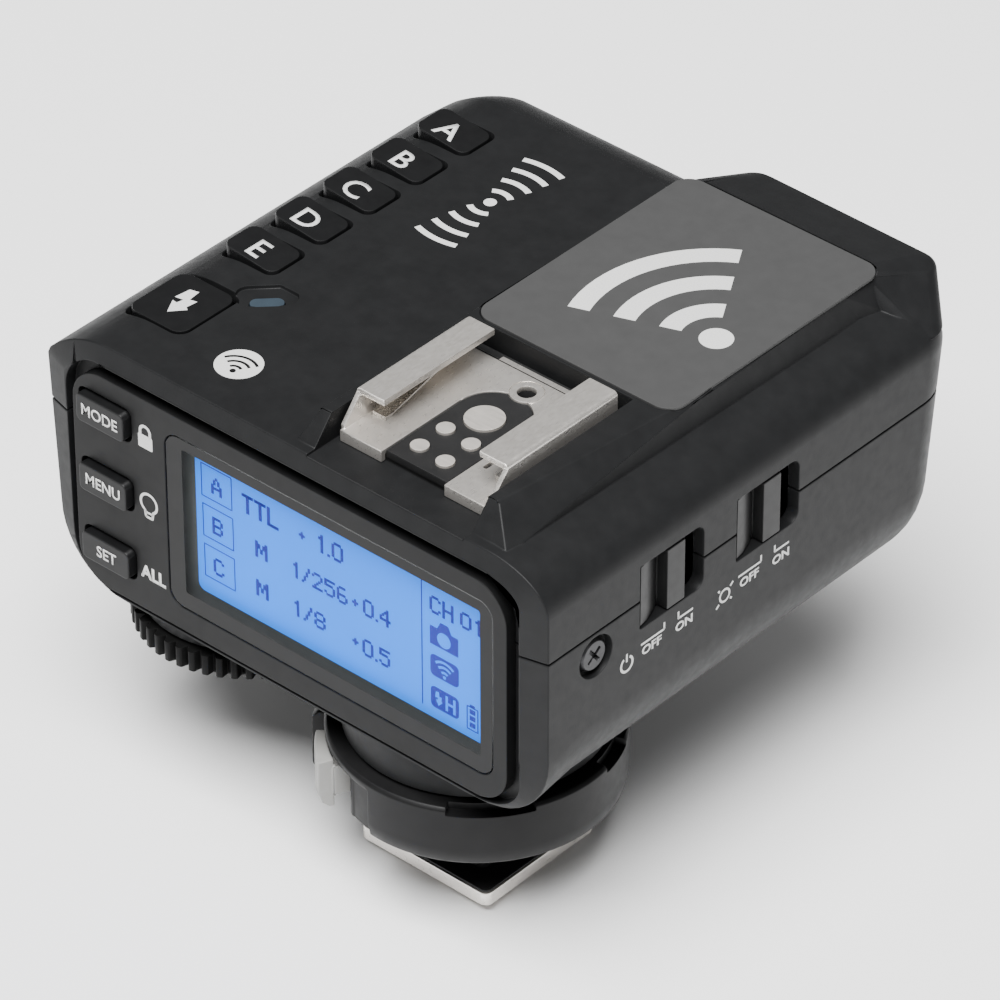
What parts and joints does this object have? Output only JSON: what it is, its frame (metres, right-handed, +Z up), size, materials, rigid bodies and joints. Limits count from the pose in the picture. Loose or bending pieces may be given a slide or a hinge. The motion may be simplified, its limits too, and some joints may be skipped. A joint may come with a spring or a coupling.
{
  "type": "wireless flash trigger",
  "caption": "Black camera-top radio flash trigger with a blue backlit display, group keys, a select dial, a pass-through shoe and a lever-locked foot.",
  "frame": {"origin": "centre of the underside of the foot plate, the face that meets a camera's accessory shoe", "axes": "+Z up, +Y forwards along the direction the foot slides into a shoe, +X to the right of a user who faces the display"},
  "size_m": [0.0721, 0.0727, 0.0598],
  "materials": {
    "shell": "fine textured black ABS",
    "panel": "satin black polycarbonate panel",
    "keycap": "soft black silicone keys with pale legends",
    "label_plate": null,
    "lens": "clear display cover",
    "lcd": "backlit blue liquid-crystal display",
    "led_lens": "smoked translucent lamp cover",
    "slider": "black nylon slider",
    "screw": "blackened steel",
    "nickel": "nickel-plated pressed steel",
    "contact": "nickel-plated contact",
    "gold": "gold-plated contact",
    "insulator": "dark grey moulded insulator",
    "dial": "black knurled dial",
    "collar": "satin black collar",
    "lever": "light grey moulded lever",
    "spring": "spring steel",
    "pcb": "green solder mask",
    "membrane": "grey silicone contact mat",
    "cell": "plain sleeved cell",
    "bay": "black battery bay",
    "ir_window": "deep red translucent window",
    "led": "red lamp",
    "port": "stainless connector shell",
    "jack": "black jack housing"
  },
  "bodies": {
    "housing": {"bottom_shell": "shell", "top_shell": "shell", "rear_panel": "panel", "lcd_lens": "lens", "lcd_module": "lcd", "keypad_mat": "membrane", "main_pcb": "pcb", "radio_board": "pcb", "antenna": "gold", "top_plate": "label_plate", "status_led_lens": "led_lens", "switch_bodies": "port", "side_screws": "screw", "bottom_screws": "screw", "shoe_rails": "nickel", "shoe_springs": "spring", "shoe_insulator": "insulator", "shoe_contacts": "contact", "dial_encoder": "port", "foot_collar": "collar", "collar_ring": "collar", "foot_neck": "insulator", "foot_plate": "nickel", "centre_spring": "spring", "data_springs": "spring", "battery_bay": "bay", "battery_cells": "cell", "battery_springs": "spring", "battery_tabs": "spring", "assist_window": "ir_window", "assist_led": "led", "sync_jack": "jack", "usb_port": "port"},
    "test_key": {"test_button": "keycap"},
    "mode_key": {"mode_button": "keycap"},
    "menu_key": {"menu_button": "keycap"},
    "set_key": {"set_button": "keycap"},
    "power_slider": {"power_switch": "slider"},
    "assist_slider": {"assist_switch": "slider"},
    "dial": {"select_dial": "dial"},
    "lever": {"lock_lever": "lever", "lever_grip": "collar"},
    "pin": {"lock_pin": "nickel"},
    "centre_pin": {"centre_contact": "gold"},
    "data_pins": {"data_contacts": "gold"},
    "door": {"battery_door": "shell"},
    "group_key_a": {"group_button_a": "keycap"},
    "group_key_b": {"group_button_b": "keycap"},
    "group_key_c": {"group_button_c": "keycap"},
    "group_key_d": {"group_button_d": "keycap"},
    "group_key_e": {"group_button_e": "keycap"}
  },
  "joints": [
    {"name": "group_a_press", "type": "slide", "parent": "housing", "child": "group_key_a", "axis": [0, 0, -1], "range_m": [0, 0.0006], "stiffness_N_per_m": 400},
    {"name": "group_b_press", "type": "slide", "parent": "housing", "child": "group_key_b", "axis": [0, 0, -1], "range_m": [0, 0.0006], "stiffness_N_per_m": 400},
    {"name": "group_c_press", "type": "slide", "parent": "housing", "child": "group_key_c", "axis": [0, 0, -1], "range_m": [0, 0.0006], "stiffness_N_per_m": 400},
    {"name": "group_d_press", "type": "slide", "parent": "housing", "child": "group_key_d", "axis": [0, 0, -1], "range_m": [0, 0.0006], "stiffness_N_per_m": 400},
    {"name": "group_e_press", "type": "slide", "parent": "housing", "child": "group_key_e", "axis": [0, 0, -1], "range_m": [0, 0.0006], "stiffness_N_per_m": 400},
    {"name": "test_press", "type": "slide", "parent": "housing", "child": "test_key", "axis": [0, 0, -1], "range_m": [0, 0.0006], "stiffness_N_per_m": 400},
    {"name": "mode_press", "type": "slide", "parent": "housing", "child": "mode_key", "axis": [0, 1, 0], "range_m": [0, 0.0006], "stiffness_N_per_m": 400},
    {"name": "menu_press", "type": "slide", "parent": "housing", "child": "menu_key", "axis": [0, 1, 0], "range_m": [0, 0.0006], "stiffness_N_per_m": 400},
    {"name": "set_press", "type": "slide", "parent": "housing", "child": "set_key", "axis": [0, 1, 0], "range_m": [0, 0.0006], "stiffness_N_per_m": 400},
    {"name": "power_slide", "type": "slide", "parent": "housing", "child": "power_slider", "axis": [0, 1, 0], "range_m": [0, 0.0022]},
    {"name": "assist_slide", "type": "slide", "parent": "housing", "child": "assist_slider", "axis": [0, 1, 0], "range_m": [0, 0.0022]},
    {"name": "dial_turn", "type": "hinge", "parent": "housing", "child": "dial", "pos_m": [-0.03115, -0.0027, 0.0183], "axis": [0, 0, 1], "continuous": true},
    {"name": "lever_turn", "type": "hinge", "parent": "housing", "child": "lever", "pos_m": [0, 0, 0.012], "axis": [0, 0, 1], "range_deg": [-22, 0]},
    {"name": "pin_drop", "type": "slide", "parent": "housing", "child": "pin", "axis": [0, 0, -1], "range_m": [0, 0.0016]},
    {"name": "centre_pin_press", "type": "slide", "parent": "housing", "child": "centre_pin", "axis": [0, 0, 1], "range_m": [0, 0.0009], "stiffness_N_per_m": 300, "deforming": ["centre_spring"]},
    {"name": "data_pins_press", "type": "slide", "parent": "housing", "child": "data_pins", "axis": [0, 0, 1], "range_m": [0, 0.0006], "stiffness_N_per_m": 300, "deforming": ["data_springs"]},
    {"name": "door_slide", "type": "slide", "parent": "housing", "child": "door", "axis": [0, 1, 0], "range_m": [0, 0.006]}
  ],
  "couplings": [
    {"joint": "pin_drop", "follows": "lever_turn", "m_per_rad": -0.004167}
  ]
}
